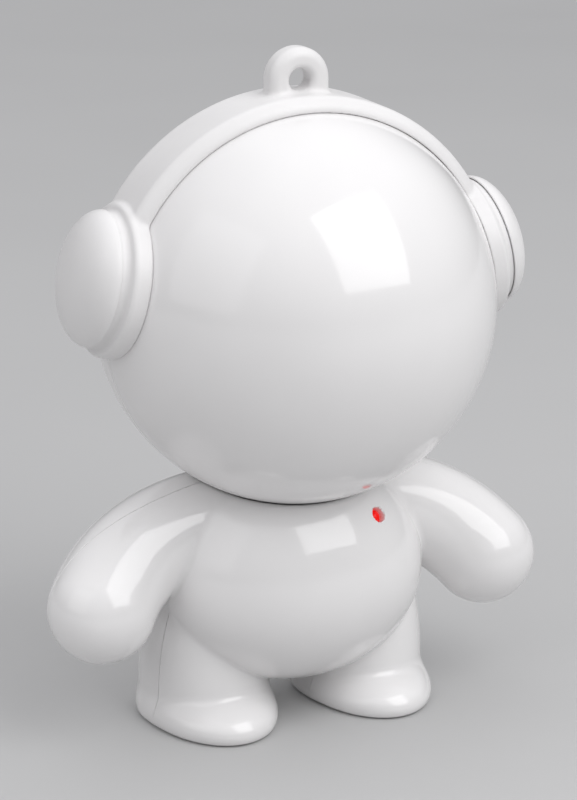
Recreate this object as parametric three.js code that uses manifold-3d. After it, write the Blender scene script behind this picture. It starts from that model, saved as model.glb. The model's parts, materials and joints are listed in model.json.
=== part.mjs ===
// A small battery music figure: a round head that turns on a rounded body, a headband with a
// hanging eyelet, two ear caps that press, and a slide switch and two sockets in the back.
// Millimetres, +Z up, the face towards -Y, the origin on the floor midway between the soles.
import * as THREE from 'three';
import { LoftGeometry } from 'three/addons/geometries/LoftGeometry.js';
import { mergeVertices } from 'three/addons/utils/BufferGeometryUtils.js';
import Module from 'manifold-3d';

const wasm = await Module();
wasm.setup();

// ---- driving dimensions -------------------------------------------------------------------
const GAP = 0.3; // clearance between pieces that meet
const CUP_GAP = 0.5; // between the faceted head and the faceted cup it turns in
const HEAD_R = 30; // outside of the head
const HEAD_Z = 64.6; // height of the head's centre
const HEAD_WALL = 2;
const BODY_WALL = 1.8;
const SPLIT = GAP / 2; // each half shell stops this far from the plane y = 0
const FAR = 200; // longer than anything here, for cutting tools

const TORSO = { y: 0.5, z: 22.5, rx: 20.8, ry: 16.2, above: 18.5, below: 17.1 };
const ARM = {
  shoulder: [12.5, 2.4, 31.9],
  elbow: [25.7, 4.2, 29.1],
  hand: [31.8, -1.9, 21.3],
  radii: [7.4, 8.1, 8.1],
};
// A leg and its shoe: straight below level z, closing like a dome over the height above it.
const LEG = { x: 13, y: 4.5, z: 5, rx: 10, front: 11.5, back: 10.3, above: 24 };
const SHOE = { x: 13.1, y: 4, z: 1.5, rx: 10.3, front: 16.3, back: 10.6, above: 5.5 };
const SOLE_EDGE = 0.5; // how far the sole's edge is rounded in and up

const BAND = { halfWidth: 6.2, outerR: 31.7, bevel: 1.4, cutAbove: 1.5 };
const EAR_TILT = 12 * Math.PI / 180; // the ear axes rise outwards by this angle
const EAR = {
  flangeR: 11.25, flangeTop: 30.7, ringR: 9.3, ringTop: 32.2, edge: 0.6,
  capR: 10, capBase: 32.05, capTip: 36.7, capWall: 1.4, stemR: 2, boreR: 2.3,
  recessR: 9.6, recessTop: 32.8, // the cap's underside slides over the ring
};
const EYELET = { z: 98.1, r: 4.74, thickness: 4.3, holeR: 1.75, round: 1.4, footZ: 94.6 };

const NECK = { tubeR: 7, boreR: 5.4, top: 40.2, flangeR: 9, flangeUnder: 39, bottom: 29.6 };
const NECK_CLIP = { r: 8.6, bore: 6.4, low: 31, high: 31.9, grooveR: 6.1 };

const LED = { at: [9.45, -10.41, 33.28], normal: [0.386, -0.735, 0.557], r: 0.9, holeR: 1.2 };
const LENS = { flangeR: 1.85, base: -4.8, flange: -4.2, domeAt: -1.4 }; // depths below the chest's surface

const BOARD = { y: 6, thickness: 1.6, halfWidth: 10.4, low: 13, high: 28.8 };
const BATTERY = { halfWidth: 10, y0: -9.4, y1: -3.6, low: 14.6, high: 27 };
const SOCKET_Y = 11.3; // the sockets' faces, just inside the back wall
const USB = { x: -6, z: 18, halfWidth: 3.75, halfHeight: 1.4, wall: 0.5 };
const JACK = { x: 6, z: 18, bodyHalf: 2.9, holeR: 1.75, mouthR: 2.9 };
const SWITCH = { z: 26, halfWidth: 4.3, halfHeight: 1.9, y1: 10.6, travel: 2 };
const KNOB = { halfWidth: 1.6, halfHeight: 0.9, tip: 15.6 };
const SCREW = { shankR: 0.85, headR: 1.75, head: 1.4, pilotR: 1.1, clearR: 1.25, sinkR: 2.1 };
const BOSS_R = 2.9;
const SCREW_SITES = [
  { name: 'screw_torso_left', x: 14.3, z: 24, seat: 4.4 },
  { name: 'screw_torso_right', x: -14.3, z: 24, seat: 4.4 },
  { name: 'screw_foot_left', x: 13.1, z: 6.4, seat: 8 },
  { name: 'screw_foot_right', x: -13.1, z: 6.4, seat: 8 },
];

const SPEAKER = { r: 16, flangeY: 19.4, rimY: 17.8, backY: 9, canR: 8.5, canY: 3.5 };
const GRILLE = { holeR: 1, pitch: 4, rings: 2 };
const HOLDER = { r: 6.5, bore: 5.2, low: 19.5 };
const EAR_BOARD = { r: 6.2, low: 17.9, thickness: 1.3 };
const EAR_SWITCH = { half: 2.6, height: 2.6, plungerR: 1.2, plungerLow: 1, plungerTop: 3.5 };
const EAR_CLIP = { r: 3.6, bore: 1.5, low: 26.2, high: 26.8 };

// ---- finishes -----------------------------------------------------------------------------
const finish = (color, roughness, metalness = 0) =>
  new THREE.MeshStandardMaterial({ color, roughness, metalness });
const GLOSS_WHITE = finish(0xeeeeec, 0.12);
const SATIN_WHITE = finish(0xe9e9e7, 0.38);
const RED_LENS = finish(0xd8140c, 0.2);
const BOARD_GREEN = finish(0x1f5b36, 0.5);
const CELL_SILVER = finish(0xb9bcc0, 0.45, 0.4);
const STEEL = finish(0xb4b7ba, 0.3, 1);
const BLACK_PLASTIC = finish(0x1c1c1e, 0.5);
const PAPER_CONE = finish(0x2b2b2c, 0.85);
const BLACK_RUBBER = finish(0x19191a, 0.7);

// ---- helpers ------------------------------------------------------------------------------
// A closed geometry as a solid, its faces turned outwards.
function solid(geometry) {
  const bare = new THREE.BufferGeometry().copy(geometry);
  bare.deleteAttribute('normal');
  bare.deleteAttribute('uv');
  const merged = mergeVertices(bare, 1e-4);
  const position = merged.attributes.position;
  const corners = merged.index.array;
  const [a, b, c] = [new THREE.Vector3(), new THREE.Vector3(), new THREE.Vector3()];
  const kept = [];
  let volume = 0;
  for (let i = 0; i < corners.length; i += 3) {
    const [ia, ib, ic] = [corners[i], corners[i + 1], corners[i + 2]];
    if (ia === ib || ib === ic || ic === ia) continue;
    kept.push(ia, ib, ic);
    a.fromBufferAttribute(position, ia);
    b.fromBufferAttribute(position, ib);
    c.fromBufferAttribute(position, ic);
    volume += a.dot(b.cross(c));
  }
  if (volume < 0) kept.reverse();
  return new wasm.Manifold(new wasm.Mesh({
    numProp: 3,
    vertProperties: Float32Array.from(position.array),
    triVerts: Uint32Array.from(kept),
  }));
}

function geometryOf(shape) {
  const mesh = shape.getMesh();
  const geometry = new THREE.BufferGeometry();
  geometry.setAttribute('position', new THREE.BufferAttribute(mesh.vertProperties, 3));
  geometry.setIndex(new THREE.BufferAttribute(mesh.triVerts, 1));
  geometry.computeVertexNormals();
  return geometry;
}

function part(name, shape, material) {
  const mesh = new THREE.Mesh(geometryOf(shape), material);
  mesh.name = name;
  return mesh;
}

const join = (...shapes) => shapes.reduce((sum, shape) => sum.add(shape));
const cut = (shape, ...tools) => tools.reduce((rest, tool) => rest.subtract(tool), shape);

function box([x0, x1], [y0, y1], [z0, z1]) {
  const geometry = new THREE.BoxGeometry(x1 - x0, y1 - y0, z1 - z0);
  return solid(geometry.translate((x0 + x1) / 2, (y0 + y1) / 2, (z0 + z1) / 2));
}

function ball(radius, around, along) {
  return solid(new THREE.SphereGeometry(radius, around, along).translate(0, 0, HEAD_Z));
}

// A profile of [radius, height] points turned about Y, or about Z.
function turnedY(profile, segments) {
  const points = profile.map(([r, h]) => new THREE.Vector2(r, h));
  return solid(new THREE.LatheGeometry(points, segments));
}

function turnedZ(profile, segments) {
  const points = profile.map(([r, h]) => new THREE.Vector2(r, h));
  return solid(new THREE.LatheGeometry(points, segments).rotateX(Math.PI / 2));
}

const rodProfile = (r, low, high) => [[0, low], [r, low], [r, high], [0, high]];
const ringProfile = (inner, outer, low, high) =>
  [[inner, low], [outer, low], [outer, high], [inner, high], [inner, low]];

// A rod parallel to Y through (x, z).
function rodY(r, [x, z], [low, high], segments) {
  return turnedY(rodProfile(r, low, high), segments).translate([x, 0, z]);
}

// Half spaces in front of and behind the parting plane.
const frontHalf = () => box([-FAR, FAR], [-FAR, -SPLIT], [-FAR, FAR]);
const rearHalf = () => box([-FAR, FAR], [SPLIT, FAR], [-FAR, FAR]);

// ---- body ---------------------------------------------------------------------------------
// Every body form is made twice: once at its outside, once inset by the wall.
function torso(inset, around, rows) {
  const profile = [];
  for (let i = 0; i <= rows; i += 1) {
    const angle = Math.PI * (i / rows - 0.5);
    const reach = Math.sin(angle) > 0 ? TORSO.above : TORSO.below;
    profile.push([(TORSO.rx - inset) * Math.cos(angle), (reach - inset) * Math.sin(angle)]);
  }
  profile[0][0] = 0;
  profile[rows][0] = 0;
  const squash = (TORSO.ry - inset) / (TORSO.rx - inset);
  return turnedZ(profile, around).scale([1, squash, 1]).translate([0, TORSO.y, TORSO.z]);
}

// A ring of points round a centre, square to a direction, anticlockwise seen from ahead.
function hoop(centre, direction, radius, segments) {
  const across = new THREE.Vector3(0, 1, 0).cross(direction).normalize();
  const up = direction.clone().cross(across).normalize();
  const points = [];
  for (let i = 0; i < segments; i += 1) {
    const angle = 2 * Math.PI * i / segments;
    points.push(centre.clone()
      .addScaledVector(across, radius * Math.cos(angle))
      .addScaledVector(up, radius * Math.sin(angle)));
  }
  return points;
}

function arm(side, inset, segments, steps) {
  const [start, bend, end] = [ARM.shoulder, ARM.elbow, ARM.hand]
    .map(([x, y, z]) => new THREE.Vector3(side * x, y, z));
  const path = new THREE.QuadraticBezierCurve3(start, bend, end);
  const [r0, r1, r2] = ARM.radii;
  const sections = [];
  for (let i = 0; i <= steps; i += 1) {
    const t = i / steps;
    const radius = (1 - t) ** 2 * r0 + 2 * t * (1 - t) * r1 + t * t * r2 - inset;
    sections.push(hoop(path.getPoint(t), path.getTangent(t), radius, segments));
  }
  const heading = path.getTangent(1);
  for (let i = 1; i <= steps; i += 1) { // the rounded hand
    const angle = 0.47 * Math.PI * i / steps;
    const centre = end.clone().addScaledVector(heading, (r2 - inset) * Math.sin(angle));
    sections.push(hoop(centre, heading, (r2 - inset) * Math.cos(angle), segments));
  }
  return solid(new LoftGeometry(sections, { closed: true, capStart: true, capEnd: true }));
}

// A limb standing on the floor: its outline is two half ellipses, one towards the front.
function standing(form, side, inset, segments, rows) {
  const { x, y, z, rx, front, back, above } = form;
  const outline = (height, scale, trim) => {
    const points = [];
    for (let i = 0; i < segments; i += 1) {
      const angle = 2 * Math.PI * i / segments;
      const ry = Math.sin(angle) < 0 ? front : back;
      points.push(new THREE.Vector3(
        side * x + ((rx - inset) * scale - trim) * Math.cos(angle),
        y + ((ry - inset) * scale - trim) * Math.sin(angle),
        height,
      ));
    }
    return points;
  };
  const sections = [outline(inset, 1, inset ? 0 : SOLE_EDGE)];
  if (!inset) sections.push(outline(SOLE_EDGE, 1, 0));
  for (let i = 0; i < rows; i += 1) {
    const angle = 0.47 * Math.PI * i / (rows - 1);
    const height = z + (above - inset) * Math.sin(angle);
    if (height > inset + SOLE_EDGE) sections.push(outline(height, Math.cos(angle), 0));
  }
  return solid(new LoftGeometry(sections, { closed: true, capStart: true, capEnd: true }));
}

function bodyForm(inset, fine) {
  const [around, rows, limb, steps] = fine ? [44, 22, 24, 7] : [20, 10, 12, 4];
  return join(
    torso(inset, around, rows),
    ...[-1, 1].flatMap((side) => [
      arm(side, inset, limb, steps),
      standing(LEG, side, inset, limb + 4, steps),
      standing(SHOE, side, inset, limb + 4, steps),
    ]),
  );
}

// Screw bosses, the openings in the back and the chest, and the cup the head turns in.
function bodyShells() {
  const outside = cut(bodyForm(0, true), ball(HEAD_R + CUP_GAP, 40, 20));
  const hollow = cut(bodyForm(BODY_WALL, false), ball(HEAD_R + CUP_GAP + BODY_WALL, 24, 12));
  const neckHole = turnedZ(rodProfile(NECK.tubeR + GAP, 20, HEAD_Z), 28);
  const skin = cut(outside, hollow);
  let front = skin.intersect(frontHalf());
  let rear = skin.intersect(rearHalf());
  for (const { x, z, seat } of SCREW_SITES) {
    const post = (from, to) => rodY(BOSS_R, [x, z], [from, to], 10).intersect(outside);
    front = cut(join(front, post(-FAR, -SPLIT)), rodY(SCREW.pilotR, [x, z], [-5, 0], 8));
    rear = cut(
      join(rear, post(SPLIT, FAR)),
      rodY(SCREW.clearR, [x, z], [0, FAR], 10),
      rodY(SCREW.sinkR, [x, z], [seat, FAR], 12),
    );
  }
  front = cut(
    front, neckHole,
    ledRod(LED.holeR, -6, 6, 14), // the window
    ledRod(LENS.flangeR + GAP, -9, -1.5, 14), // the pocket behind it
  );
  rear = cut(
    rear, neckHole,
    box(span(USB.x, USB.halfWidth + GAP), [10, FAR], span(USB.z, USB.halfHeight + GAP)),
    rodY(JACK.mouthR, [JACK.x, JACK.z], [10, FAR], 16),
    box(
      span(0, KNOB.halfWidth + SWITCH.travel / 2 + GAP), [10, FAR],
      span(SWITCH.z, KNOB.halfHeight + GAP),
    ),
  );
  return [
    part('body_front_shell', front, GLOSS_WHITE),
    part('body_rear_shell', rear, GLOSS_WHITE),
  ];
}

const span = (middle, half) => [middle - half, middle + half];

// ---- chest light --------------------------------------------------------------------------
// A rod on the light's axis, from low to high along the outward normal.
function ledRod(r, low, high, segments) {
  return onLedAxis(new THREE.LatheGeometry(
    rodProfile(r, low, high).map(([x, h]) => new THREE.Vector2(x, h)), segments));
}

function onLedAxis(geometry) {
  const turn = new THREE.Quaternion().setFromUnitVectors(
    new THREE.Vector3(0, 1, 0), new THREE.Vector3(...LED.normal).normalize());
  return solid(geometry.applyQuaternion(turn).translate(...LED.at));
}

function chestLed() {
  const lens = [
    [0, LENS.base], [LENS.flangeR, LENS.base], [LENS.flangeR, LENS.flange], [LED.r, LENS.flange],
  ];
  for (let i = 0; i <= 4; i += 1) {
    const angle = Math.PI / 2 * i / 4;
    lens.push([LED.r * Math.cos(angle), LENS.domeAt + LED.r * Math.sin(angle)]);
  }
  lens[lens.length - 1][0] = 0;
  return part('chest_led', onLedAxis(new THREE.LatheGeometry(
    lens.map(([r, h]) => new THREE.Vector2(r, h)), 16)), RED_LENS);
}

// ---- inside the body ----------------------------------------------------------------------
function roundedBox([x0, x1], [y0, y1], [z0, z1], radius) {
  const outline = new THREE.Shape();
  outline.moveTo(x0 + radius, z0);
  outline.absarc(x1 - radius, z0 + radius, radius, -Math.PI / 2, 0);
  outline.absarc(x1 - radius, z1 - radius, radius, 0, Math.PI / 2);
  outline.absarc(x0 + radius, z1 - radius, radius, Math.PI / 2, Math.PI);
  outline.absarc(x0 + radius, z0 + radius, radius, Math.PI, 1.5 * Math.PI);
  const slab = new THREE.ExtrudeGeometry(
    outline, { depth: y1 - y0, bevelEnabled: false, curveSegments: 3 });
  return solid(slab.rotateX(Math.PI / 2).translate(0, y1, 0));
}

function electronics() {
  const width = [-BOARD.halfWidth, BOARD.halfWidth];
  const back = BOARD.y + BOARD.thickness;
  const socketFrom = back + 0.1;
  const usb = (grow, from) => box(
    span(USB.x, USB.halfWidth + grow), [from, SOCKET_Y], span(USB.z, USB.halfHeight + grow));
  const jack = cut(
    box(span(JACK.x, JACK.bodyHalf), [socketFrom, SOCKET_Y - 0.6], span(JACK.z, JACK.bodyHalf)),
    rodY(JACK.holeR, [JACK.x, JACK.z], [socketFrom + 1, FAR], 14),
  );
  const switchCase = cut(
    box(span(0, SWITCH.halfWidth), [socketFrom, SWITCH.y1], span(SWITCH.z, SWITCH.halfHeight)),
    box(span(0, KNOB.halfWidth + SWITCH.travel / 2 + GAP), [SWITCH.y1 - 1.4, FAR],
      span(SWITCH.z, KNOB.halfHeight + GAP)),
  );
  const knob = box(
    span(-SWITCH.travel / 2, KNOB.halfWidth), [SWITCH.y1 - 1, KNOB.tip],
    span(SWITCH.z, KNOB.halfHeight));
  return [
    part('main_board', roundedBox(width, [BOARD.y, back], [BOARD.low, BOARD.high], 1.5),
      BOARD_GREEN),
    part('amplifier_chip', box(span(0, 2.6), [BOARD.y - 1.3, BOARD.y - 0.1], span(22, 2.6)),
      BLACK_PLASTIC),
    part('battery_cell', roundedBox(span(0, BATTERY.halfWidth), [BATTERY.y0, BATTERY.y1],
      [BATTERY.low, BATTERY.high], 2), CELL_SILVER),
    part('charging_socket', cut(usb(0, socketFrom), usb(-USB.wall, socketFrom + USB.wall)), STEEL),
    part('audio_jack', jack, BLACK_PLASTIC),
    part('power_switch_case', switchCase, STEEL),
    part('power_switch_knob', knob, BLACK_PLASTIC),
  ];
}

function bodyScrews() {
  return SCREW_SITES.map(({ name, x, z, seat }) => {
    const top = seat - 0.1 + SCREW.head;
    const profile = [
      [0, -4.4], [SCREW.shankR * 0.4, -4.4], [SCREW.shankR, -3.6], [SCREW.shankR, seat + 0.1],
      [SCREW.headR, seat + 0.1], [SCREW.headR, top], [SCREW.headR * 0.8, top + 0.3], [0, top + 0.3],
    ];
    const recess = box(span(0, 0.22), [top - 0.5, FAR], span(0, FAR));
    return part(name, cut(turnedY(profile, 12), recess).translate([x, 0, z]), STEEL);
  });
}

// ---- head ---------------------------------------------------------------------------------
const earTurn = (side) => [0, side * (90 - EAR_TILT * 180 / Math.PI), 0];

// A shape made on the Z axis, carried to one ear's axis through the head's centre.
const toEar = (shape, side) => shape.rotate(earTurn(side)).translate([0, 0, HEAD_Z]);

function grilleHoles() {
  const holes = [];
  for (let q = -GRILLE.rings; q <= GRILLE.rings; q += 1) {
    for (let r = -GRILLE.rings; r <= GRILLE.rings; r += 1) {
      if (Math.abs(q + r) > GRILLE.rings) continue;
      const x = GRILLE.pitch * (q + r / 2);
      const z = HEAD_Z + GRILLE.pitch * Math.sqrt(3) / 2 * r;
      holes.push(rodY(GRILLE.holeR, [x, z], [20, FAR], 6));
    }
  }
  return holes;
}

function headShells() {
  const skin = cut(
    ball(HEAD_R, 44, 22), ball(HEAD_R - HEAD_WALL, 20, 10),
    turnedZ(rodProfile(NECK.tubeR + GAP, 20, HEAD_Z), 28),
    ...[-1, 1].map((side) => toEar(turnedZ(rodProfile(EAR.boreR, 20, 40), 16), side)),
  );
  const seat = turnedY(ringProfile(SPEAKER.r - 1.6, SPEAKER.r, SPEAKER.flangeY + GAP, 29), 28)
    .translate([0, 0, HEAD_Z]).intersect(ball(HEAD_R - HEAD_WALL / 2, 20, 10));
  return [
    part('head_front_shell', skin.intersect(frontHalf()), GLOSS_WHITE),
    part('head_rear_shell', cut(join(skin.intersect(rearHalf()), seat), ...grilleHoles()),
      GLOSS_WHITE),
  ];
}

function headband() {
  const { halfWidth: w, outerR, bevel } = BAND;
  const arch = turnedY([
    [HEAD_R - 6, -w], [outerR - bevel, -w], [outerR, bevel - w], [outerR, w - bevel],
    [outerR - bevel, w], [HEAD_R - 6, w], [HEAD_R - 6, -w],
  ], 40).translate([0, 0, HEAD_Z])
    .intersect(box([-FAR, FAR], [-FAR, FAR], [HEAD_Z + BAND.cutAbove, FAR]));
  const cup = turnedZ([
    [0, 15], [EAR.flangeR, 15], [EAR.flangeR, EAR.flangeTop - EAR.edge],
    [EAR.flangeR - EAR.edge, EAR.flangeTop], [EAR.ringR, EAR.flangeTop],
    [EAR.ringR, EAR.ringTop - EAR.edge / 2], [EAR.ringR - EAR.edge, EAR.ringTop],
    [0, EAR.ringTop],
  ], 24);
  const bore = turnedZ(rodProfile(EAR.boreR, 10, 40), 16);
  const cups = [-1, 1].map((side) => toEar(cup, side));
  const cuts = [-1, 1].map((side) => toEar(bore, side));
  const band = cut(join(arch, ...cups, eyelet()), ball(HEAD_R + GAP, 40, 20), ...cuts);
  return part('headband', band, SATIN_WHITE);
}

// A rounded tab on the crown with a hole for a cord.
function eyelet() {
  const half = EYELET.thickness / 2 - EYELET.round / 2;
  const r = EYELET.r - EYELET.round / 2;
  const outline = new THREE.Shape();
  outline.moveTo(-r, EYELET.footZ);
  outline.lineTo(r, EYELET.footZ);
  outline.lineTo(r, EYELET.z);
  outline.absarc(0, EYELET.z, r, 0, Math.PI);
  outline.lineTo(-r, EYELET.footZ);
  const hole = new THREE.Path();
  hole.absarc(0, EYELET.z, EYELET.holeR + EYELET.round / 2, 0, 2 * Math.PI, true);
  outline.holes.push(hole);
  const tab = new THREE.ExtrudeGeometry(outline, {
    depth: 2 * half, curveSegments: 6, bevelSegments: 2,
    bevelSize: EYELET.round / 2, bevelThickness: EYELET.round / 2,
  });
  return solid(tab.translate(0, 0, -half).rotateX(Math.PI / 2));
}

function neck() {
  const tube = turnedZ([
    [NECK.boreR, NECK.bottom], [NECK.tubeR, NECK.bottom], [NECK.tubeR, NECK_CLIP.low - 0.15],
    [NECK_CLIP.grooveR, NECK_CLIP.low - 0.15], [NECK_CLIP.grooveR, NECK_CLIP.high + 0.15],
    [NECK.tubeR, NECK_CLIP.high + 0.15], [NECK.tubeR, NECK.flangeUnder],
    [NECK.flangeR, NECK.flangeUnder], [NECK.flangeR, NECK.top], [NECK.boreR, NECK.top],
    [NECK.boreR, NECK.bottom],
  ], 20);
  const clip = turnedZ(ringProfile(NECK_CLIP.bore, NECK_CLIP.r, NECK_CLIP.low, NECK_CLIP.high), 20);
  return [part('neck_tube', tube, BLACK_PLASTIC), part('neck_clip', clip, STEEL)];
}

// ---- speaker in the back of the head ------------------------------------------------------
function speaker() {
  const { r, flangeY, rimY, backY, canR, canY } = SPEAKER;
  const atHead = (shape) => shape.translate([0, 0, HEAD_Z]);
  const basket = turnedY([
    [r - 1.6, rimY], [r, rimY], [r, flangeY - 0.5], [r - 2.4, flangeY - 0.5],
    [r - 2.8, rimY + 0.4], [canR, backY + 1.2], [5, backY + 1.2], [5, backY],
    [canR + 0.6, backY], [r - 1.6, rimY],
  ], 24);
  const can = turnedY([
    [0, canY], [canR, canY], [canR, backY - GAP], [5.2, backY - GAP], [5.2, canY + 1.5],
    [0, canY + 1.5],
  ], 24);
  const magnet = turnedY(rodProfile(4.2, canY + 1.6, backY + 0.6), 20);
  const surround = turnedY([
    [r - 4.6, flangeY - 0.2], [r - 3.6, flangeY + 0.5], [r - 2.6, flangeY - 0.2],
    [r - 2.7, flangeY - 0.4], [r - 3.6, flangeY + 0.2], [r - 4.5, flangeY - 0.4],
    [r - 4.6, flangeY - 0.2],
  ], 24);
  const cone = turnedY([
    [0, backY + 4.4], [3, backY + 3.9], [4.4, backY + 2.4], [r - 4.8, flangeY - 0.7],
    [r - 4.8, flangeY - 0.3], [4.5, backY + 3.1], [3.2, backY + 4.8], [0, backY + 5.4],
  ], 24);
  const gasket = turnedY(ringProfile(r - 1.9, r - 0.1, flangeY - 0.4, flangeY + 0.2), 24);
  return [
    part('speaker_basket', atHead(basket), STEEL),
    part('speaker_can', atHead(can), STEEL),
    part('speaker_magnet', atHead(magnet), CELL_SILVER),
    part('speaker_surround', atHead(surround), BLACK_RUBBER),
    part('speaker_cone', atHead(cone), PAPER_CONE),
    part('speaker_gasket', atHead(gasket), BLACK_RUBBER),
  ];
}

// ---- ears ---------------------------------------------------------------------------------
// Built along +Z from the head's centre; the group carries them to the ear axis.
function ear(side, label) {
  const group = new THREE.Group();
  group.name = `ear_${label}`;
  group.position.z = HEAD_Z;
  group.rotation.y = side * (Math.PI / 2 - EAR_TILT);
  const dome = (radius, height) => {
    const profile = [[0, EAR.capBase]];
    for (let i = 0; i <= 5; i += 1) {
      const angle = Math.PI / 2 * i / 5;
      const r = i === 5 ? 0 : radius * Math.cos(angle);
      profile.push([r, EAR.capBase + height * Math.sin(angle)]);
    }
    return turnedZ(profile, 24);
  };
  const height = EAR.capTip - EAR.capBase;
  const top = EAR_BOARD.low + EAR_BOARD.thickness + 0.1;
  const stemLow = top + EAR_SWITCH.plungerTop + 0.1;
  const stem = turnedZ([
    [0, stemLow], [EAR.stemR - 0.4, stemLow], [EAR.stemR, stemLow + 0.4],
    [EAR.stemR, EAR_CLIP.low - 0.1], [1.3, EAR_CLIP.low - 0.1],
    [1.3, EAR_CLIP.high + 0.1], [EAR.stemR, EAR_CLIP.high + 0.1], [EAR.stemR, 34], [0, 34],
  ], 16);
  const cap = join(
    cut(dome(EAR.capR, height), dome(EAR.capR - EAR.capWall, height - EAR.capWall),
      turnedZ(rodProfile(EAR.recessR, EAR.capBase - 1, EAR.recessTop), 24)),
    stem, turnedZ(rodProfile(EAR.stemR, 33, EAR.capTip - EAR.capWall / 2), 16),
  );
  const holder = cut(
    turnedZ(ringProfile(HOLDER.bore, HOLDER.r, HOLDER.low, 30), 24),
    outsideOf(HEAD_R - HEAD_WALL - GAP),
  );
  const board = turnedZ(
    rodProfile(EAR_BOARD.r, EAR_BOARD.low, EAR_BOARD.low + EAR_BOARD.thickness), 24);
  const key = cut(
    box(span(0, EAR_SWITCH.half), span(0, EAR_SWITCH.half), [top, top + EAR_SWITCH.height]),
    turnedZ(rodProfile(EAR_SWITCH.plungerR + GAP, top + EAR_SWITCH.plungerLow / 3, FAR), 12),
  );
  const plunger = turnedZ(rodProfile(
    EAR_SWITCH.plungerR, top + EAR_SWITCH.plungerLow, top + EAR_SWITCH.plungerTop), 12);
  const clip = turnedZ(
    ringProfile(EAR_CLIP.bore, EAR_CLIP.r, EAR_CLIP.low, EAR_CLIP.high), 16);
  group.add(
    part(`ear_cap_${label}`, cap, SATIN_WHITE),
    part(`ear_clip_${label}`, clip, STEEL),
    part(`ear_holder_${label}`, holder, BLACK_PLASTIC),
    part(`ear_board_${label}`, board, BOARD_GREEN),
    part(`ear_switch_${label}`, key, STEEL),
    part(`ear_plunger_${label}`, plunger, BLACK_PLASTIC),
  );
  return group;
}

// Everything outside a ball round the origin, as a tool for trimming ear pieces.
function outsideOf(radius) {
  const inner = solid(new THREE.SphereGeometry(radius, 20, 10));
  return box([-FAR, FAR], [-FAR, FAR], [-FAR, FAR]).subtract(inner);
}

// ---- the whole figure ---------------------------------------------------------------------
const figure = new THREE.Group();
figure.name = 'music_figure';
figure.add(
  ...bodyShells(), chestLed(), ...electronics(), ...bodyScrews(),
  ...headShells(), headband(), ...neck(), ...speaker(),
  ear(1, 'left'), ear(-1, 'right'),
);
export default figure;
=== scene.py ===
"""Looks for the small music figure: smooth moulded shells made from distance functions and
turned profiles, procedural plastics, a pale floor and soft studio light. Metres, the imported
model's frame: +Z up, the face towards -Y, the figure's left hand towards +X."""
import json
import math

import bmesh
import bpy
import numpy as np
from mathutils import Matrix, Vector


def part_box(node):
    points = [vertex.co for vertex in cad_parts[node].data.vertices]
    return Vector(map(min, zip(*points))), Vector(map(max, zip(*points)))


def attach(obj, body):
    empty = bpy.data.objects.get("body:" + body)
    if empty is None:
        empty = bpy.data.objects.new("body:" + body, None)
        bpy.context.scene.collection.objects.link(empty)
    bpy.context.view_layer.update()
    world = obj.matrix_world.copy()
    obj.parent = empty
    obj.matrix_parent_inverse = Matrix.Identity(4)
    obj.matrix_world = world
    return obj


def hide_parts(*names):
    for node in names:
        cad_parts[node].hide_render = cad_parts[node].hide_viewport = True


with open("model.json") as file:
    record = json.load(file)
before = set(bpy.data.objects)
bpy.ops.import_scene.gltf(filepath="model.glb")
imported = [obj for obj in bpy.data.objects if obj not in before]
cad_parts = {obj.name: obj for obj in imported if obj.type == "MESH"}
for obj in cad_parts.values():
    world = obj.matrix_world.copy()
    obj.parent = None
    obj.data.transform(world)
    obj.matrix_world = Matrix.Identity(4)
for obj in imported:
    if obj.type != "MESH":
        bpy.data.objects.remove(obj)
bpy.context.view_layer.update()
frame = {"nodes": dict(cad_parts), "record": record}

# ---- driving dimensions, millimetres --------------------------------------------------------
MM = 0.001
HEAD_R = 30.0
HEAD = np.array([0.0, 0.0, 64.6])  # the head's centre
HEAD_WALL = 2.0
BODY_WALL = 1.8
CUP_GAP = 0.1  # between the head and the cup it turns in
SEAM = 0.05  # half the parting line between two half shells
SEAM_BEVEL = 0.09
FAR = 60.0  # the far end of an opening, beyond the piece it is cut from
Y = np.array([0.0, 1.0, 0.0])
Z = np.array([0.0, 0.0, 1.0])

TORSO_AT = np.array([0.0, 0.5, -42.1]) + HEAD
TORSO_ABOVE = np.array([20.8, 16.2, 18.5])  # half axes above and below the widest level
TORSO_BELOW = np.array([20.8, 16.2, 17.1])
ARM_PATH = np.array([[12.5, 2.4, -32.7], [25.7, 4.2, -35.5], [31.8, -1.9, -43.3]]) + HEAD
ARM_R = np.array([7.4, 8.1, 8.1])
LEG = np.array([13.0, 4.5, 5.0])  # straight below this level, closing like a dome above it
LEG_FRONT = np.array([10.0, 11.5, 24.0])  # half axes, towards the front and towards the back
LEG_BACK = np.array([10.0, 10.3, 24.0])
FOOT = np.array([13.1, 4.0, 1.5])
FOOT_FRONT = np.array([10.3, 16.3, 5.5])
FOOT_BACK = np.array([10.3, 10.6, 5.5])
SOLE_ROUND = 0.7
BLEND_ARM = 0.9  # how softly each limb runs into the body
BLEND_FOOT = 1.2
BLEND_LEG = 0.5
CUP_RIM = 0.7  # the body's rounded rim round the head
BODY_SPACE = (-41, -19, -1), (41, 21, 42)  # corners of the space that holds the whole body

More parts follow.
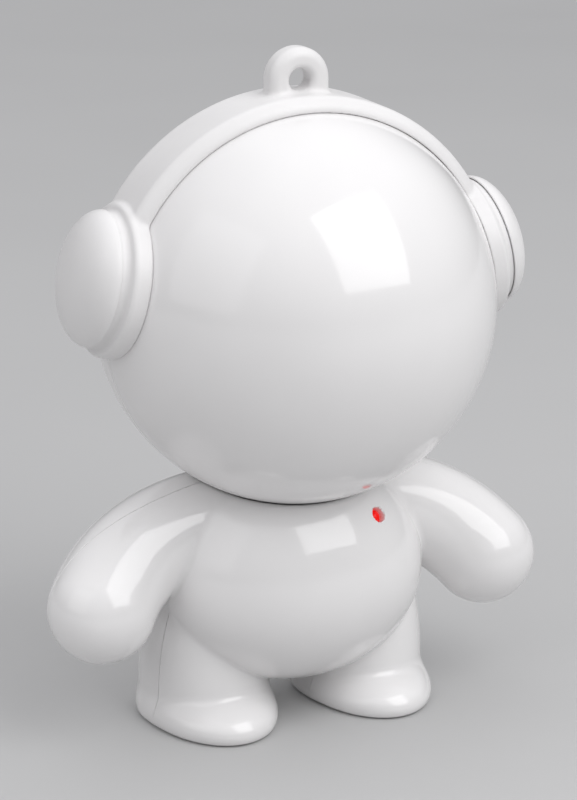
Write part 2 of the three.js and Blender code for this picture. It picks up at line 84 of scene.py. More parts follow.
BAND_HALF = 6.2
BAND_R = 31.7
BAND_BEVEL = 1.4
BAND_LOW = 1.5  # the arch stops this far above the head's centre
BAND_EDGE, BAND_CORNER = 0.3, 0.5  # rounding of the arch's edges and of its bevel's
BAND_SPACE = (-35, -12, 50), (35, 12, 104)
BAND_GAP = 0.04  # between the head and the band, whose lower edge is rounded a little
EAR_TILT = math.radians(12)  # ear heights are measured along its axis from the head's centre
EAR_ROOT = 20.0  # the cup and ring start here, inside the head
FLANGE_R, FLANGE_TOP, FLANGE_EDGE = 11.25, 30.7, 0.9
RING_R, RING_TOP, RING_EDGE = 9.68, 32.2, 0.4
BLEND_RING, BLEND_CUP = 1.1, 0.6  # ring into cup, and cup into arch
STEM_BORE = 2.3
CAP_R, CAP_BASE, CAP_TIP = 10.0, 32.05, 36.7
CAP_WALL, CAP_EDGE = 1.4, 0.12
RECESS_R, RECESS_TOP = 9.76, 32.8  # the cap's underside slides over the ring
STEM_R, STEM_LOW, STEM_CHAMFER = 2.0, 22.9, (0.4, 0.5)  # the chamfer's width and height
CLIP_GROOVE_R, CLIP_GROOVE = 1.3, (26.1, 26.9)  # where the retaining clip grips the stem
EYELET_AT = np.array([0.0, 0.0, 98.1])
EYELET_R, EYELET_HOLE = 4.74, 1.75
EYELET_HALF = 2.15
EYELET_EDGE = 1.5
EYELET_LIP = 1.0  # the rounding of the hole's edges
EYELET_FOOT = 6.0
EYELET_FILLET = 0.9

NECK_BORE, NECK_FROM = 7.3, 20.0  # the bore's radius, and the height it is cut from
LED_AT = np.array([9.45, -10.41, 33.28])
LED_NORMAL = np.array([0.386, -0.735, 0.557])
LED_HOLE, LED_HOLE_EDGE, LED_HOLE_REACH = 1.2, 0.2, 8.0
LENS_R, LENS_DOME = 1.12, -1.5  # the nose, and the height where it starts to round over
LENS_FLANGE_R, LENS_FLANGE = 1.85, (-4.8, -4.2)
GRILLE_R, GRILLE_PITCH, GRILLE_RINGS = 1.0, 4.0, 2
SCREWS = {"torso": (14.3, 24.0, 4.4), "foot": (13.1, 6.4, 8.0)}  # x, z and the head's seat
SCREW_SINK = 2.1
POST_R, PILOT_R, PILOT_FROM = 2.8, 1.25, -5.0  # screw posts, and the bores that start at y
SHANK_R, THREAD_R, THREAD_PITCH = 0.62, 0.85, 0.8
THREAD_LOW, THREAD_CLEAR = -3.2, 0.6  # the lowest ridge, and bare shank below the head
SCREW_TIP = [(0.0, -4.4), (0.3, -4.2)]
SCREW_HEAD_R, SCREW_HEAD_HIGH, SCREW_HEAD_ROUND = 1.75, 1.6, 0.8
CROSS_SIZE, CROSS_TURN = (2.0, 0.4, 1.6), 0.4  # the recess's bars; any turn, radians
OPENING_EDGE = 0.25  # rounding where an opening breaks the skin
USB = ((-6.0, 18.0), (4.05, 1.7))  # centre and half sizes of the openings in the back
SLOT = ((0.0, 26.0), (2.9, 1.2))
SOCKET_CORNER = 0.7
SOCKET_Y, SOCKET_HALF_DEPTH = 20.0, 11.0  # the openings' middle and half depth along Y
JACK_AT, JACK_R, JACK_FROM = (6.0, 18.0), 2.9, 8.0
KNOB_EDGE = 0.25
KNOB_RIB, KNOB_RIB_PITCH = (0.18, 0.22), 0.8  # half sizes across and outwards
KNOB_RIB_SPAN = 0.8  # a rib's length as a share of the knob's height

# ---- camera -------------------------------------------------------------------------------
CAMERA_AT = Vector((-0.1597, -0.3536, 0.1682))
CAMERA_AZIMUTH = math.radians(24.19)
CAMERA_FALL = math.radians(17.03)  # below the horizon
CAMERA_ROLL = math.radians(0.37)
CAMERA_LENS = 121.6  # on a sensor 36 mm high


def camera():
    data = bpy.data.cameras.new("camera")
    data.sensor_fit = "VERTICAL"
    data.sensor_height = 36
    data.lens = CAMERA_LENS
    data.clip_start = 0.01
    ahead = Vector((
        math.sin(CAMERA_AZIMUTH) * math.cos(CAMERA_FALL),
        math.cos(CAMERA_AZIMUTH) * math.cos(CAMERA_FALL),
        -math.sin(CAMERA_FALL),
    ))
    level = Vector((math.cos(CAMERA_AZIMUTH), -math.sin(CAMERA_AZIMUTH), 0))
    right = Matrix.Rotation(CAMERA_ROLL, 3, -ahead) @ level
    turn = Matrix((right, right.cross(ahead), -ahead)).transposed()
    eye = bpy.data.objects.new("camera", data)
    eye.matrix_world = Matrix.Translation(CAMERA_AT) @ turn.to_4x4()
    bpy.context.collection.objects.link(eye)
    bpy.context.scene.camera = eye


# ---- distance functions: p is an (n, 3) array, negative is inside ---------------------------
def smooth_min(a, b, k):
    """The nearer of two shapes, run together over a width k."""
    h = np.clip(0.5 + 0.5 * (b - a) / k, 0, 1)
    return b + (a - b) * h - k * h * (1 - h)


def smooth_max(a, b, k):
    return -smooth_min(-a, -b, k)


def ellipsoid(p, centre, radii):
    q = p - centre
    near = np.linalg.norm(q / radii, axis=1)
    far = np.linalg.norm(q / radii**2, axis=1)
    return near * (near - 1) / np.maximum(far, 1e-9)


def two_part(p, centre, split, below, above):
    """An ellipsoid whose half axes differ on the two sides of its middle plane."""
    lower = p[:, split] < centre[split]
    return np.where(lower, ellipsoid(p, centre, below), ellipsoid(p, centre, above))


def round_max(a, b, r):
    """Where both are negative, with the edge between them rounded to radius r."""
    return np.minimum(np.maximum(a, b), -r) + \
        np.hypot(np.maximum(a + r, 0), np.maximum(b + r, 0))


def cylinder(p, centre, axis, r, low, high, edge=0.0):
    along = (p - centre) @ axis
    out = np.linalg.norm(p - centre - along[:, None] * axis, axis=1)
    wall = np.maximum(low - along, along - high)
    if edge:
        return smooth_max(out - r, wall, edge)
    return np.maximum(out - r, wall)


def block(p, centre, half, edge):
    q = np.abs(p - centre) - half + edge
    return np.linalg.norm(np.maximum(q, 0), axis=1) + np.minimum(q.max(axis=1), 0) - edge


def bent_limb(p, path, radii):
    """Swept balls along a quadratic curve: the nearest point by a few Newton steps."""
    a, b, c = path
    bend, lead = a - 2 * b + c, b - a
    guesses = np.linspace(0, 1, 9)
    spots = [(1 - t)**2 * a + 2 * t * (1 - t) * b + t * t * c for t in guesses]
    t = guesses[np.argmin([np.linalg.norm(p - s, axis=1) for s in spots], axis=0)]
    for _ in range(5):
        spot = a + 2 * t[:, None] * lead + (t * t)[:, None] * bend
        speed = 2 * lead + 2 * t[:, None] * bend
        gap = spot - p
        slope = (gap * speed).sum(1)
        curve = (speed * speed).sum(1) + 2 * (gap @ bend)
        t = np.clip(t - slope / np.maximum(curve, 50.0), 0, 1)
    spot = a + 2 * t[:, None] * lead + (t * t)[:, None] * bend
    r0, r1, r2 = radii
    r = (1 - t)**2 * r0 + 2 * t * (1 - t) * r1 + t * t * r2
    return np.linalg.norm(p - spot, axis=1) - r


def mirrored(p):
    return np.column_stack([np.abs(p[:, 0]), p[:, 1:]])


def leg(p):
    """One leg and its shoe on the floor, where the sole's edge is rounded."""
    upright = np.column_stack([p[:, :2], np.maximum(p[:, 2], LEG[2])])
    column = two_part(upright, LEG, 1, LEG_FRONT, LEG_BACK)
    shoe = two_part(p, FOOT, 1, FOOT_FRONT, FOOT_BACK)
    return smooth_max(smooth_min(column, shoe, BLEND_FOOT), -p[:, 2], SOLE_ROUND)


def body_outside(p):
    p = mirrored(p)
    torso = two_part(p, TORSO_AT, 2, TORSO_BELOW, TORSO_ABOVE)
    upper = smooth_min(torso, bent_limb(p, ARM_PATH, ARM_R), BLEND_ARM)
    whole = smooth_min(upper, leg(p), BLEND_LEG)
    return smooth_max(whole, HEAD_R + CUP_GAP - np.linalg.norm(p - HEAD, axis=1), CUP_RIM)


def at_back(xz):
    """A place in the back, or straight through to it, from its x and z."""
    return np.array([xz[0], 0.0, xz[1]])


def body_shell(p):
    """The hollow body with its screw posts and every opening, before it is halved."""
    out = body_outside(p)
    skin = np.maximum(out, -out - BODY_WALL)
    folded = mirrored(p)
    for x, z, seat in SCREWS.values():
        spot = at_back((x, z))
        post = np.maximum(cylinder(folded, spot, Y, POST_R, -FAR, FAR), out)
        skin = np.minimum(skin, post)
        skin = np.maximum(skin, -cylinder(folded, spot, Y, PILOT_R, PILOT_FROM, FAR))
        sink = cylinder(folded, spot, Y, SCREW_SINK, seat, FAR)
        skin = smooth_max(skin, -sink, OPENING_EDGE)
    skin = np.maximum(skin, -cylinder(p, np.zeros(3), Z, NECK_BORE, NECK_FROM, FAR))
    led = LED_NORMAL / np.linalg.norm(LED_NORMAL)
    window = cylinder(p, LED_AT, led, LED_HOLE, -LED_HOLE_REACH, LED_HOLE_REACH)
    skin = smooth_max(skin, -window, LED_HOLE_EDGE)
    for (spot, half) in (USB, SLOT):
        size = np.array([half[0], SOCKET_HALF_DEPTH, half[1]])
        hole = block(p, at_back(spot) + SOCKET_Y * Y, size, SOCKET_CORNER)
        skin = smooth_max(skin, -hole, OPENING_EDGE)
    jack = cylinder(p, at_back(JACK_AT), Y, JACK_R, JACK_FROM, FAR)
    return smooth_max(skin, -jack, OPENING_EDGE)


def ear_axis(side):
    return np.array([side * math.cos(EAR_TILT), 0.0, math.sin(EAR_TILT)])


def eyelet(p):
    """An upright tab, round above its hole and straight below, every edge well rounded."""
    q = p - EYELET_AT
    reach = np.hypot(q[:, 0], q[:, 2])
    outline = np.where(q[:, 2] > 0, reach, np.abs(q[:, 0])) - EYELET_R
    tab = round_max(outline, np.abs(q[:, 1]) - EYELET_HALF, EYELET_EDGE)
    tab = round_max(tab, EYELET_HOLE - reach, EYELET_LIP)
    return np.maximum(tab, -q[:, 2] - EYELET_FOOT)


def band(p):
    """The arch over the head with both ear cups, their rings and the eyelet, in one piece."""
    q = p - HEAD
    out = np.hypot(q[:, 0], q[:, 2]) - BAND_R
    wide = np.abs(q[:, 1]) - BAND_HALF
    arch = smooth_max(out, wide, BAND_EDGE)
    arch = smooth_max(arch, (out + wide + BAND_BEVEL) * math.sqrt(0.5), BAND_CORNER)
    arch = np.maximum(arch, BAND_LOW - q[:, 2])
    folded = mirrored(p)
    axis = ear_axis(1)
    cup = cylinder(folded, HEAD, axis, FLANGE_R, EAR_ROOT, FLANGE_TOP, FLANGE_EDGE)
    ring = cylinder(folded, HEAD, axis, RING_R, EAR_ROOT, RING_TOP, RING_EDGE)
    whole = smooth_min(arch, smooth_min(cup, ring, BLEND_RING), BLEND_CUP)
    whole = smooth_min(whole, eyelet(p), EYELET_FILLET)
    whole = smooth_max(whole, HEAD_R + BAND_GAP - np.linalg.norm(q, axis=1), BAND_EDGE)
    return np.maximum(whole, -cylinder(folded, HEAD, axis, STEM_BORE, EAR_ROOT, FAR))


# ---- meshing a distance function ------------------------------------------------------------
def sampled(field, lo, count, step):
    """The field on a grid, worked out only in the blocks that its surface may cross."""
    size = 8  # grid points along a block's side
    batch = 400  # blocks worked out at once, to save memory
    blocks = [-(-n // size) for n in count]
    centres = np.stack(np.meshgrid(*[np.arange(n) for n in blocks], indexing="ij"), -1)
    centres = centres.reshape(-1, 3)
    middle = field(lo + (centres * size + size / 2) * step)
    values = np.repeat(np.repeat(np.repeat(
        middle.reshape(blocks), size, 0), size, 1), size, 2).astype(np.float32)
    near = centres[np.abs(middle) < size * step * 1.5]
    offsets = np.stack(np.meshgrid(*[np.arange(size)] * 3, indexing="ij"), -1).reshape(-1, 3)
    for first in range(0, len(near), batch):
        spots = (near[first:first + batch, None] * size + offsets[None]).reshape(-1, 3)
        values[tuple(spots.T)] = field(lo + spots * step)
    return values


def slopes(field, p, reach=0.02):
    """The field's gradient, from its values a small reach to either side."""
    g = np.empty_like(p)
    for axis in range(3):
        shift = np.zeros(3)
        shift[axis] = reach
        g[:, axis] = (field(p + shift) - field(p - shift)) / (2 * reach)
    return g


def cell(fine):
    return fine


def surface_net(field, lo, hi, step):
    """Quads on the field's zero surface, each vertex moved onto it."""
    lo = np.array(lo, float)
    count = np.ceil((np.array(hi) - lo) / step).astype(int) + 1
    d = sampled(field, lo, count, step)
    inside = d < 0
    cells = np.array(d.shape) - 1
    total = np.zeros(tuple(cells) + (3,), np.float32)
    hits = np.zeros(tuple(cells), np.int8)
    crossings = []
    for axis in range(3):
        here = [slice(None)] * 3
        there = [slice(None)] * 3
        here[axis] = slice(None, -1)
        there[axis] = slice(1, None)
        change = inside[tuple(here)] != inside[tuple(there)]
        spots = np.argwhere(change)
        a = d[tuple(here)][change]
        b = d[tuple(there)][change]
        place = spots.astype(np.float32)
        place[:, axis] += a / (a - b)
        flip = inside[tuple(there)][change]
        u, v = (axis + 1) % 3, (axis + 2) % 3
        keep = (spots[:, u] > 0) & (spots[:, v] > 0) & \
            (spots[:, u] < cells[u]) & (spots[:, v] < cells[v])
        spots, place, flip = spots[keep], place[keep], flip[keep]
        corners = []
        for du, dv in ((1, 1), (0, 1), (0, 0), (1, 0)):
            owner = spots.copy()
            owner[:, u] -= du
            owner[:, v] -= dv
            np.add.at(total, tuple(owner.T), place)
            np.add.at(hits, tuple(owner.T), 1)
            corners.append(owner)
        crossings.append((corners, flip))
    index = np.full(tuple(cells), -1)
    used = hits > 0
    index[used] = np.arange(used.sum())
    quads = []
    for corners, flip in crossings:
        quad = np.stack([index[tuple(c.T)] for c in corners], 1)
        quad[flip] = quad[flip][:, ::-1]
        quads.append(quad)
    p = lo + total[used] / hits[used][:, None] * step
    for _ in range(4):
        g = slopes(field, p)
        move = field(p) / np.maximum((g * g).sum(1), 0.25)
        p = p - np.clip(move, -step / 2, step / 2)[:, None] * g
    return p, np.concatenate(quads)


# ---- making objects -------------------------------------------------------------------------
def object_from(name, mesh, material):
    mesh.materials.append(material)
    piece = bpy.data.objects.new(name, mesh)
    bpy.context.collection.objects.link(piece)
    return piece


def mesh_from(name, vertices, faces):
    mesh = bpy.data.meshes.new(name)
    mesh.from_pydata((vertices * MM).tolist(), [], faces.tolist())
    mesh.update()
    return mesh


def shade_by(mesh, field, flat_below=0.8):
    """Smooth normals from the field itself; faces that turn away from it stay flat."""
    mesh.shade_smooth()
    n = len(mesh.vertices)
    p = np.empty(n * 3)
    mesh.vertices.foreach_get("co", p)
    g = slopes(field, p.reshape(-1, 3) / MM)
    g /= np.maximum(np.linalg.norm(g, axis=1), 1e-9)[:, None]
    corner = np.empty(len(mesh.loops), int)
    mesh.loops.foreach_get("vertex_index", corner)
    starts = np.empty(len(mesh.polygons), int)
    mesh.polygons.foreach_get("loop_start", starts)
    face = np.empty(len(mesh.polygons) * 3)
    mesh.polygons.foreach_get("normal", face)
    sizes = np.diff(np.append(starts, len(mesh.loops)))
    face = np.repeat(face.reshape(-1, 3), sizes, 0)
    normal = g[corner]
    turned = (normal * face).sum(1) < flat_below
    normal[turned] = face[turned]
    mesh.normals_split_custom_set(normal.tolist())


def half_shell(name, vertices, faces, side, field, material):
    """One half of a moulding, cut at the parting plane with a fine bevelled edge."""
    facing_out = 0.3  # below this a vertex's normal is nearly along Y, and it stays in place
    mesh = mesh_from(name, vertices, faces)
    bm = bmesh.new()
    bm.from_mesh(mesh)
    plane = Vector((0, side, 0))
    for depth, clear in ((SEAM + SEAM_BEVEL, False), (SEAM, True)):
        bmesh.ops.bisect_plane(
            bm, geom=bm.verts[:] + bm.edges[:] + bm.faces[:], dist=1e-8,
            plane_co=plane * depth * MM, plane_no=plane, clear_inner=clear)
    rim = [e for e in bm.edges if e.is_boundary]
    for vertex in {v for e in rim for v in e.verts}:
        inward = Vector((vertex.normal.x, 0, vertex.normal.z))
        if inward.length > facing_out:
            vertex.co -= inward.normalized() * SEAM_BEVEL * 0.8 * MM
    bmesh.ops.triangle_fill(bm, use_beauty=True, use_dissolve=False, edges=rim,
                            normal=-plane)
    bm.to_mesh(mesh)
    bm.free()
    shade_by(mesh, field)
    return object_from(name, mesh, material)


def turned(name, profile, material, segments=96, crease=35):
    """A closed profile of (radius, height) points turned about Z, millimetres."""
    bm = bmesh.new()
    rings = []
    for r, h in profile:
        if r < 1e-6:
            rings.append([bm.verts.new((0, 0, h * MM))])
            continue
        rings.append([
            bm.verts.new((r * math.cos(a) * MM, r * math.sin(a) * MM, h * MM))
            for a in (2 * math.pi * i / segments for i in range(segments))
        ])
    for low, high in zip(rings, rings[1:]):
        for i in range(segments):
            j = (i + 1) % segments
            corners = [low[i % len(low)], low[j % len(low)],
                       high[j % len(high)], high[i % len(high)]]
            corners = list(dict.fromkeys(corners))
            if len(corners) > 2:
                bm.faces.new(corners)
    bmesh.ops.remove_doubles(bm, verts=bm.verts[:], dist=1e-9)
    bmesh.ops.recalc_face_normals(bm, faces=bm.faces[:])
    mesh = bpy.data.meshes.new(name)
    bm.to_mesh(mesh)
    bm.free()
    mesh.shade_smooth()
    mesh.set_sharp_from_angle(angle=math.radians(crease))
    return object_from(name, mesh, material)


def arc(centre, r, start, end, steps):
    """Points of (radius, height) along an arc, degrees from the outward direction."""
    angles = np.radians(np.linspace(start, end, steps + 1))
    return [(centre[0] + r * math.cos(a), centre[1] + r * math.sin(a)) for a in angles]


def place(piece, turn, at=(0, 0, 0)):
    """Bakes a turn and a place in millimetres into the piece's mesh."""
    piece.data.transform(Matrix.Translation(Vector(at) * MM) @ turn.to_4x4())
    return piece


# ---- materials: noise scales are per metre, bump heights in metres ----------------------------
class Nodes:
    """A material's node tree with short calls for what these materials share."""

    def __init__(self, name, roughness, **sockets):
        self.material = bpy.data.materials.new(name)
        self.material.use_nodes = True
        self.tree = self.material.node_tree
        self.shader = self.tree.nodes["Principled BSDF"]
        self.shader.inputs["Roughness"].default_value = roughness
        for key, value in sockets.items():
            self.shader.inputs[key.replace("_", " ")].default_value = value
        self.place = self.tree.nodes.new("ShaderNodeTexCoord").outputs["Object"]

    def link(self, out, into):
        self.tree.links.new(out, into)

    def noise(self, scale, detail=3, rough=0.5):
        node = self.tree.nodes.new("ShaderNodeTexNoise")
        node.inputs["Scale"].default_value = scale
        node.inputs["Detail"].default_value = detail
        node.inputs["Roughness"].default_value = rough
        self.link(self.place, node.inputs["Vector"])
        return node.outputs["Fac"]

    def spread(self, value, low, high, span=(0.35, 0.65)):
        node = self.tree.nodes.new("ShaderNodeMapRange")
        node.inputs["From Min"].default_value, node.inputs["From Max"].default_value = span
        node.inputs["To Min"].default_value = low
        node.inputs["To Max"].default_value = high
        self.link(value, node.inputs["Value"])
        return node.outputs["Result"]

    def colours(self, value, *stops):
        node = self.tree.nodes.new("ShaderNodeValToRGB")
        ramp = node.color_ramp
        for element, (at, colour) in zip(ramp.elements, (stops[0], stops[-1])):
            element.position, element.color = at, (*colour, 1)
        for at, colour in stops[1:-1]:
            ramp.elements.new(at).color = (*colour, 1)
        self.link(value, node.inputs["Fac"])
        self.link(node.outputs["Color"], self.shader.inputs["Base Color"])

    def roughness(self, value, low, high):
        self.link(self.spread(value, low, high), self.shader.inputs["Roughness"])

    def bump(self, value, height, strength=1.0):
        node = self.tree.nodes.new("ShaderNodeBump")
        node.inputs["Strength"].default_value = strength
        node.inputs["Distance"].default_value = height
        self.link(value, node.inputs["Height"])
        self.link(node.outputs["Normal"], self.shader.inputs["Normal"])


def gloss_white():
    """Polished moulded plastic: a clear skin, faint cloudiness and flow waves."""
    m = Nodes("gloss_white", 0.1, IOR=1.5, Coat_Weight=0.3, Coat_Roughness=0.05)
    m.colours(m.noise(45, 2), (0.3, (0.81, 0.80, 0.80)), (0.7, (0.85, 0.84, 0.84)))
    m.roughness(m.noise(160, 4), 0.09, 0.15)
    m.bump(m.noise(90, 1), 0.00002, 0.5)
    return m.material


def satin_white():
    """The same plastic out of a fine-grained mould, so its shine is broken up."""
    m = Nodes("satin_white", 0.4, IOR=1.5)
    m.colours(m.noise(60, 3), (0.3, (0.77, 0.76, 0.76)), (0.7, (0.82, 0.81, 0.81)))
    m.roughness(m.noise(900, 2), 0.36, 0.46)
    m.bump(m.noise(5200, 2, 0.6), 0.00002, 0.45)
    return m.material


def red_lens():
    """A tinted lens, lit dimly from behind."""
    m = Nodes("red_lens", 0.3, IOR=1.5, Specular_IOR_Level=0.25,
              Emission_Color=(1, 0.006, 0.002, 1), Emission_Strength=0.45)
    m.colours(m.noise(700, 2), (0.3, (0.5, 0.003, 0.002)), (0.7, (0.62, 0.006, 0.004)))
    m.roughness(m.noise(2500, 2), 0.25, 0.4)
    return m.material


def board_green():
    """Solder mask with lighter tracks showing through."""
    m = Nodes("board_green", 0.35, IOR=1.5)
    m.colours(m.noise(1500, 0), (0.46, (0.01, 0.08, 0.035)), (0.5, (0.03, 0.2, 0.08)),
              (0.54, (0.012, 0.09, 0.04)))
    m.roughness(m.noise(1500, 0), 0.3, 0.45)
    m.bump(m.noise(1500, 0), 0.00004, 0.5)
    return m.material


def cell_foil():
    """A pouch cell's foil, slightly crumpled."""
    m = Nodes("cell_foil", 0.4, Metallic=0.7)
    m.colours(m.noise(220, 4), (0.3, (0.5, 0.51, 0.53)), (0.7, (0.68, 0.69, 0.7)))
    m.roughness(m.noise(400, 4), 0.28, 0.5)
    m.bump(m.noise(300, 4), 0.0001, 0.4)
    return m.material


def steel():
    """Plated steel with a fine grain."""
    m = Nodes("steel", 0.3, Metallic=1.0)
    m.colours(m.noise(900, 3), (0.3, (0.5, 0.51, 0.52)), (0.7, (0.66, 0.66, 0.67)))
    m.roughness(m.noise(3000, 3), 0.2, 0.38)
    m.bump(m.noise(3500, 2), 0.00001, 0.4)
    return m.material


def black_plastic():
    """Matt moulded plastic with a spark-eroded texture."""
    m = Nodes("black_plastic", 0.5, IOR=1.48)
    m.colours(m.noise(300, 3), (0.3, (0.012, 0.012, 0.013)), (0.7, (0.028, 0.028, 0.03)))
    m.roughness(m.noise(1200, 3), 0.42, 0.6)
    m.bump(m.noise(4200, 2), 0.00003, 0.5)
    return m.material


def cone_paper():
    """Pressed paper fibre."""
    m = Nodes("cone_paper", 0.85)
    m.colours(m.noise(2400, 5, 0.7), (0.35, (0.02, 0.02, 0.02)), (0.7, (0.07, 0.07, 0.068)))
    m.roughness(m.noise(2400, 4), 0.75, 0.95)
    m.bump(m.noise(2800, 5, 0.7), 0.00008, 0.7)
    return m.material


def black_rubber():
    """Dull rubber with a dusty bloom."""
    m = Nodes("black_rubber", 0.7)
    m.colours(m.noise(3000, 3), (0.35, (0.01, 0.01, 0.01)), (0.7, (0.03, 0.03, 0.03)))
    m.roughness(m.noise(2000, 3), 0.6, 0.8)
    m.bump(m.noise(3600, 3), 0.00005, 0.6)
    return m.material


MATERIALS = {make.__name__: make() for make in (
    gloss_white, satin_white, red_lens, board_green, cell_foil, steel, black_plastic,
    cone_paper, black_rubber)}


def repaint_frame():
    """Every CAD node takes its record slot's material."""
    for entry in frame["record"]["subparts"]:
        node = frame["nodes"][entry["node"]]
        node.data.materials.clear()
        node.data.materials.append(MATERIALS[entry["material_slot"]])


# ---- the head -------------------------------------------------------------------------------
def grille_sites():
    sites = []
    rings = range(-GRILLE_RINGS, GRILLE_RINGS + 1)
    for q in rings:
        for r in rings:
            if abs(q + r) <= GRILLE_RINGS:
                sites.append((GRILLE_PITCH * (q + r / 2), GRILLE_PITCH * math.sqrt(0.75) * r))
    return sites


def head_shell(name, side):
    """Half a hollow ball, its rim bevelled; the back half has the speaker's holes."""
    neck_clearance, neck_length = 0.2, 20
    neck_at = (NECK_FROM + neck_length / 2) * Z
    ear_depth, grille_depth = 29, 28  # the cutters' middles, out from the head's centre
    inner = HEAD_R - HEAD_WALL
    seam = math.degrees(math.asin((SEAM + SEAM_BEVEL) / HEAD_R))
    outside = arc((0, 0), HEAD_R, 90, seam, 80)
    inside = arc((0, 0), inner, seam, 90, 40)
    profile = [(0, HEAD_R)] + outside[1:] + [(HEAD_R - SEAM_BEVEL, SEAM), (inner, SEAM)]
    profile += inside[:-1] + [(0, inner)]
    shell = turned(name, profile, MATERIALS["gloss_white"], 160)
    place(shell, Matrix.Rotation(-side * math.pi / 2, 3, "X"), HEAD)
    cutters = [drill(NECK_BORE + neck_clearance, neck_at, Z, length=neck_length, segments=48)]
    for ear in (-1, 1):
        axis = Vector(ear_axis(ear))
        at = Vector(HEAD) + axis * ear_depth
        cutters.append(drill(STEM_BORE, at, axis, length=8, segments=32))
    if side > 0:
        for x, z in grille_sites():
            at = (x, grille_depth, HEAD[2] + z)
            cutters.append(drill(GRILLE_R, at, Y, length=12, segments=24))
    cut_by(shell, cutters)
    shade_by(shell.data, ball_field, 0.9)
    return shell


def ball_field(p):
    """Distance from the middle of the head shell's wall: its outside and inside both show."""
    return np.abs(np.linalg.norm(p - HEAD, axis=1) - HEAD_R + HEAD_WALL / 2) - HEAD_WALL / 2


def cutter(bm, matrix):
    """A finished bmesh as a tool for cut_by, put in its place in metres."""
    mesh = bpy.data.meshes.new("cutter")
    bm.to_mesh(mesh)
    bm.free()
    mesh.transform(matrix)
    tool = bpy.data.objects.new("cutter", mesh)
    bpy.context.collection.objects.link(tool)
    return tool


def drill(r, at, axis, length, segments):
    """A round cutter along an axis, with its middle at a place."""
    bm = bmesh.new()
    bmesh.ops.create_cone(bm, cap_ends=True, segments=segments, radius1=r * MM,
                          radius2=r * MM, depth=length * MM)
    turn = Vector((0, 0, 1)).rotation_difference(Vector(axis)).to_matrix()
    return cutter(bm, Matrix.Translation(Vector(at) * MM) @ turn.to_4x4())


def cut_by(piece, tools):
    """Subtracts the tools for good and removes them."""
    for tool in tools:
        step = piece.modifiers.new("cut", "BOOLEAN")
        step.operation = "DIFFERENCE"
        step.solver = "EXACT"
        step.object = tool
    done = bpy.data.meshes.new_from_object(
        piece.evaluated_get(bpy.context.evaluated_depsgraph_get()))
    piece.modifiers.clear()
    piece.data = done
    for tool in tools:
        bpy.data.objects.remove(tool)


def head():
    for name, side in (("head_front", -1), ("head_rear", 1)):
        shell = head_shell(f"{name}_moulding", side)
        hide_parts(f"{name}_shell")
        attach(shell, "head")


def headband():
    vertices, faces = surface_net(band, *BAND_SPACE, cell(0.24))
    mesh = mesh_from("headband_moulding", vertices, faces)
    shade_by(mesh, band, 0.3)
    piece = object_from("headband_moulding", mesh, MATERIALS["satin_white"])
    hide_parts("headband")
    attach(piece, "head")


def dome_line(r, height, start, end, count):
    """Points of (radius, height) on a low dome over the cap's base, degrees up from its edge."""
    angles = np.radians(np.linspace(start, end, count))
    return [(r * math.cos(a), CAP_BASE + height * math.sin(a)) for a in angles]


def ear_cap(side, label):
    """A thin dome with a rolled rim, a hollow back and the stem that holds it."""
    height = CAP_TIP - CAP_BASE
    dome = dome_line(CAP_R, height, 90, 3, 41)
    rim = arc((CAP_R - CAP_EDGE, CAP_BASE + CAP_EDGE), CAP_EDGE, 0, -90, 5)
    hollow = dome_line(CAP_R - CAP_WALL, height - CAP_WALL, 14, 90, 25)
    groove_low, groove_high = CLIP_GROOVE
    inset, rise = STEM_CHAMFER
    stem = [
        (STEM_R, CAP_BASE + height - CAP_WALL), (STEM_R, groove_high),
        (CLIP_GROOVE_R, groove_high), (CLIP_GROOVE_R, groove_low), (STEM_R, groove_low),
        (STEM_R, STEM_LOW + rise), (STEM_R - inset, STEM_LOW), (0, STEM_LOW),
    ]
    profile = [(0, CAP_TIP)] + dome[1:] + rim
    profile += [(RECESS_R, CAP_BASE), (RECESS_R, RECESS_TOP), (hollow[0][0], RECESS_TOP)]
    profile += [point for point in hollow if point[0] > STEM_R + 0.2] + stem
    cap = turned(f"ear_cap_{label}_dome", profile, MATERIALS["satin_white"], 128)
    axis = Vector(ear_axis(side))
    place(cap, Vector((0, 0, 1)).rotation_difference(axis).to_matrix(), HEAD)
    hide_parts(f"ear_cap_{label}")
    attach(cap, f"ear_{label}")


# ---- the body -------------------------------------------------------------------------------
def body():
    vertices, faces = surface_net(body_shell, *BODY_SPACE, cell(0.36))
    for name, side in (("body_front", -1), ("body_rear", 1)):
        shell = half_shell(f"{name}_moulding", vertices, faces, side, body_shell,
                           MATERIALS["gloss_white"])
        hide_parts(f"{name}_shell")
        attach(shell, "base")


def chest_light():
    """A round-nosed lens with a flange behind the skin that keeps it in."""
    low, high = LENS_FLANGE
    lens = [(0, low), (LENS_FLANGE_R, low), (LENS_FLANGE_R, high), (LENS_R, high)]
    lens += arc((0, LENS_DOME), LENS_R, 0, 90, 12)[:-1] + [(0, LENS_R + LENS_DOME)]
    piece = turned("chest_led_lens", lens, MATERIALS["red_lens"], 48)
    turn = Vector((0, 0, 1)).rotation_difference(Vector(LED_NORMAL)).to_matrix()
    place(piece, turn, LED_AT)
    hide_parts("chest_led")
    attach(piece, "base")


